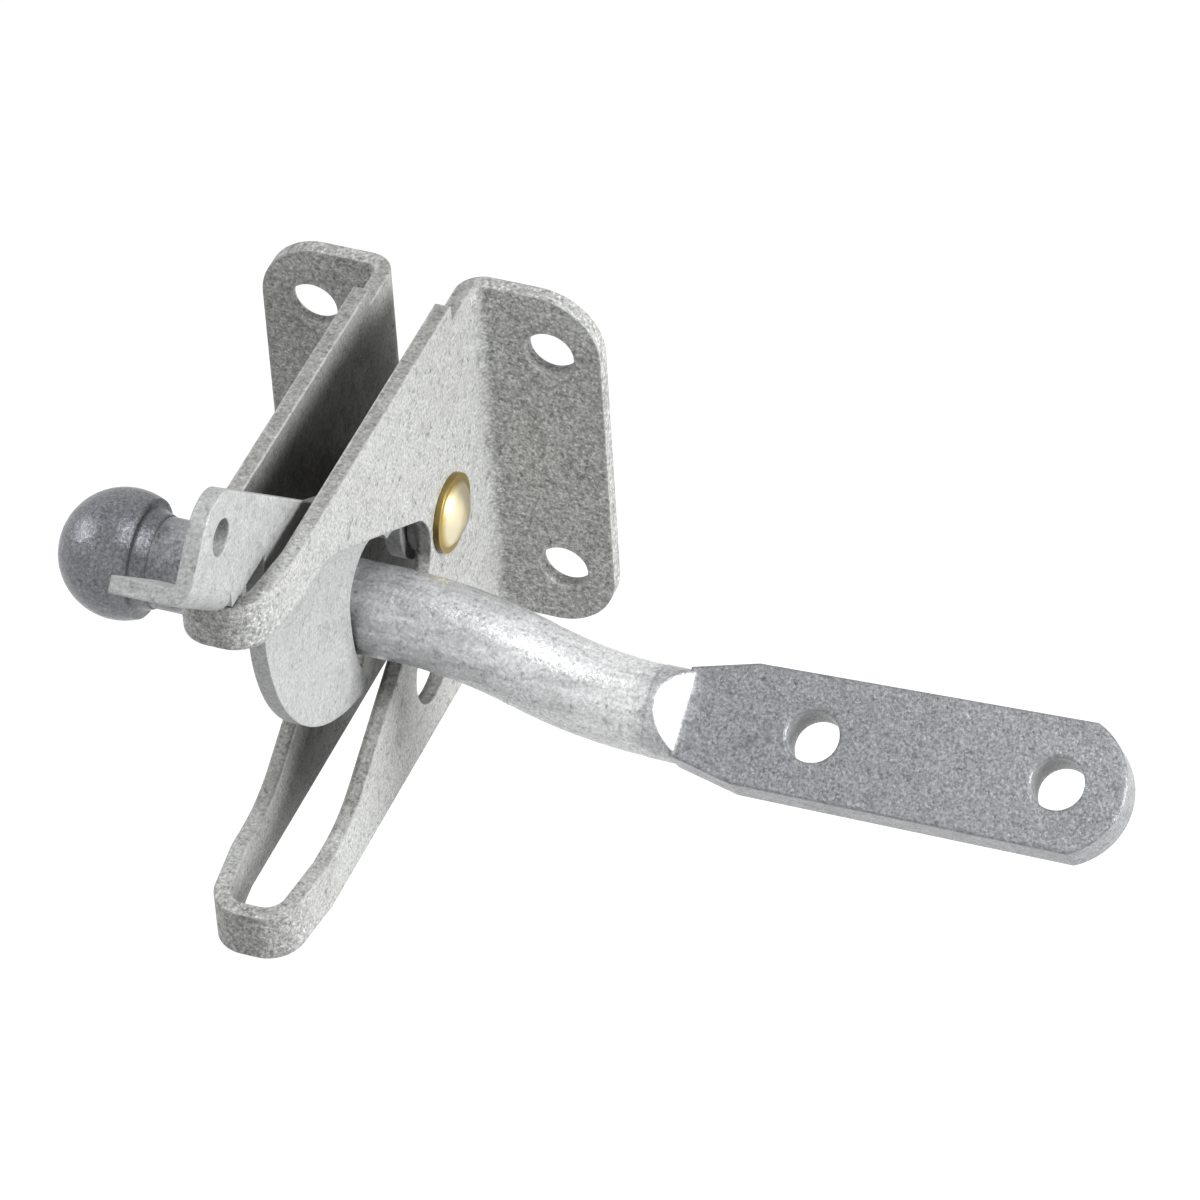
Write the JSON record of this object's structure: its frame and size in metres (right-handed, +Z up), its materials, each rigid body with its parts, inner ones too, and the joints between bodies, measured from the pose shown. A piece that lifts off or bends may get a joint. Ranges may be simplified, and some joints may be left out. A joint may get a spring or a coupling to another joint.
{
  "type": "automatic gate latch",
  "caption": "Self-latching gate catch: folded steel bracket with open jaws, a gravity pawl on a rivet, and a ball-ended striker bar with a flat screw plate.",
  "frame": {"origin": "centre of the four post screw holes, on the post face", "axes": "+X along the striker bar towards its flat end, +Y into the post, +Z up"},
  "size_m": [0.1521, 0.0874, 0.0818],
  "materials": {
    "bracket_steel": "galvanised, mottled, dull",
    "pawl_steel": "galvanised, mottled, dull",
    "rivet_brass": "satin brass",
    "inner_steel": "plain zinc",
    "striker_steel": "hot-dipped, slightly lumpy"
  },
  "bodies": {
    "bracket": {"latch_bracket": "bracket_steel", "pivot_rivet": "rivet_brass", "spacer_sleeve": "inner_steel", "thrust_washer": "inner_steel"},
    "pawl": {"latch_pawl": "pawl_steel"},
    "striker": {"striker_bar": "striker_steel"}
  },
  "joints": [
    {"name": "pawl_lift", "type": "hinge", "parent": "bracket", "child": "pawl", "pos_m": [0, -0.0163, 0], "axis": [-1, 0, 0], "range_deg": [0, 42]},
    {"name": "striker_float", "type": "slide", "parent": "bracket", "child": "striker", "axis": [1, 0, 0], "range_m": [0, 0.02]}
  ]
}
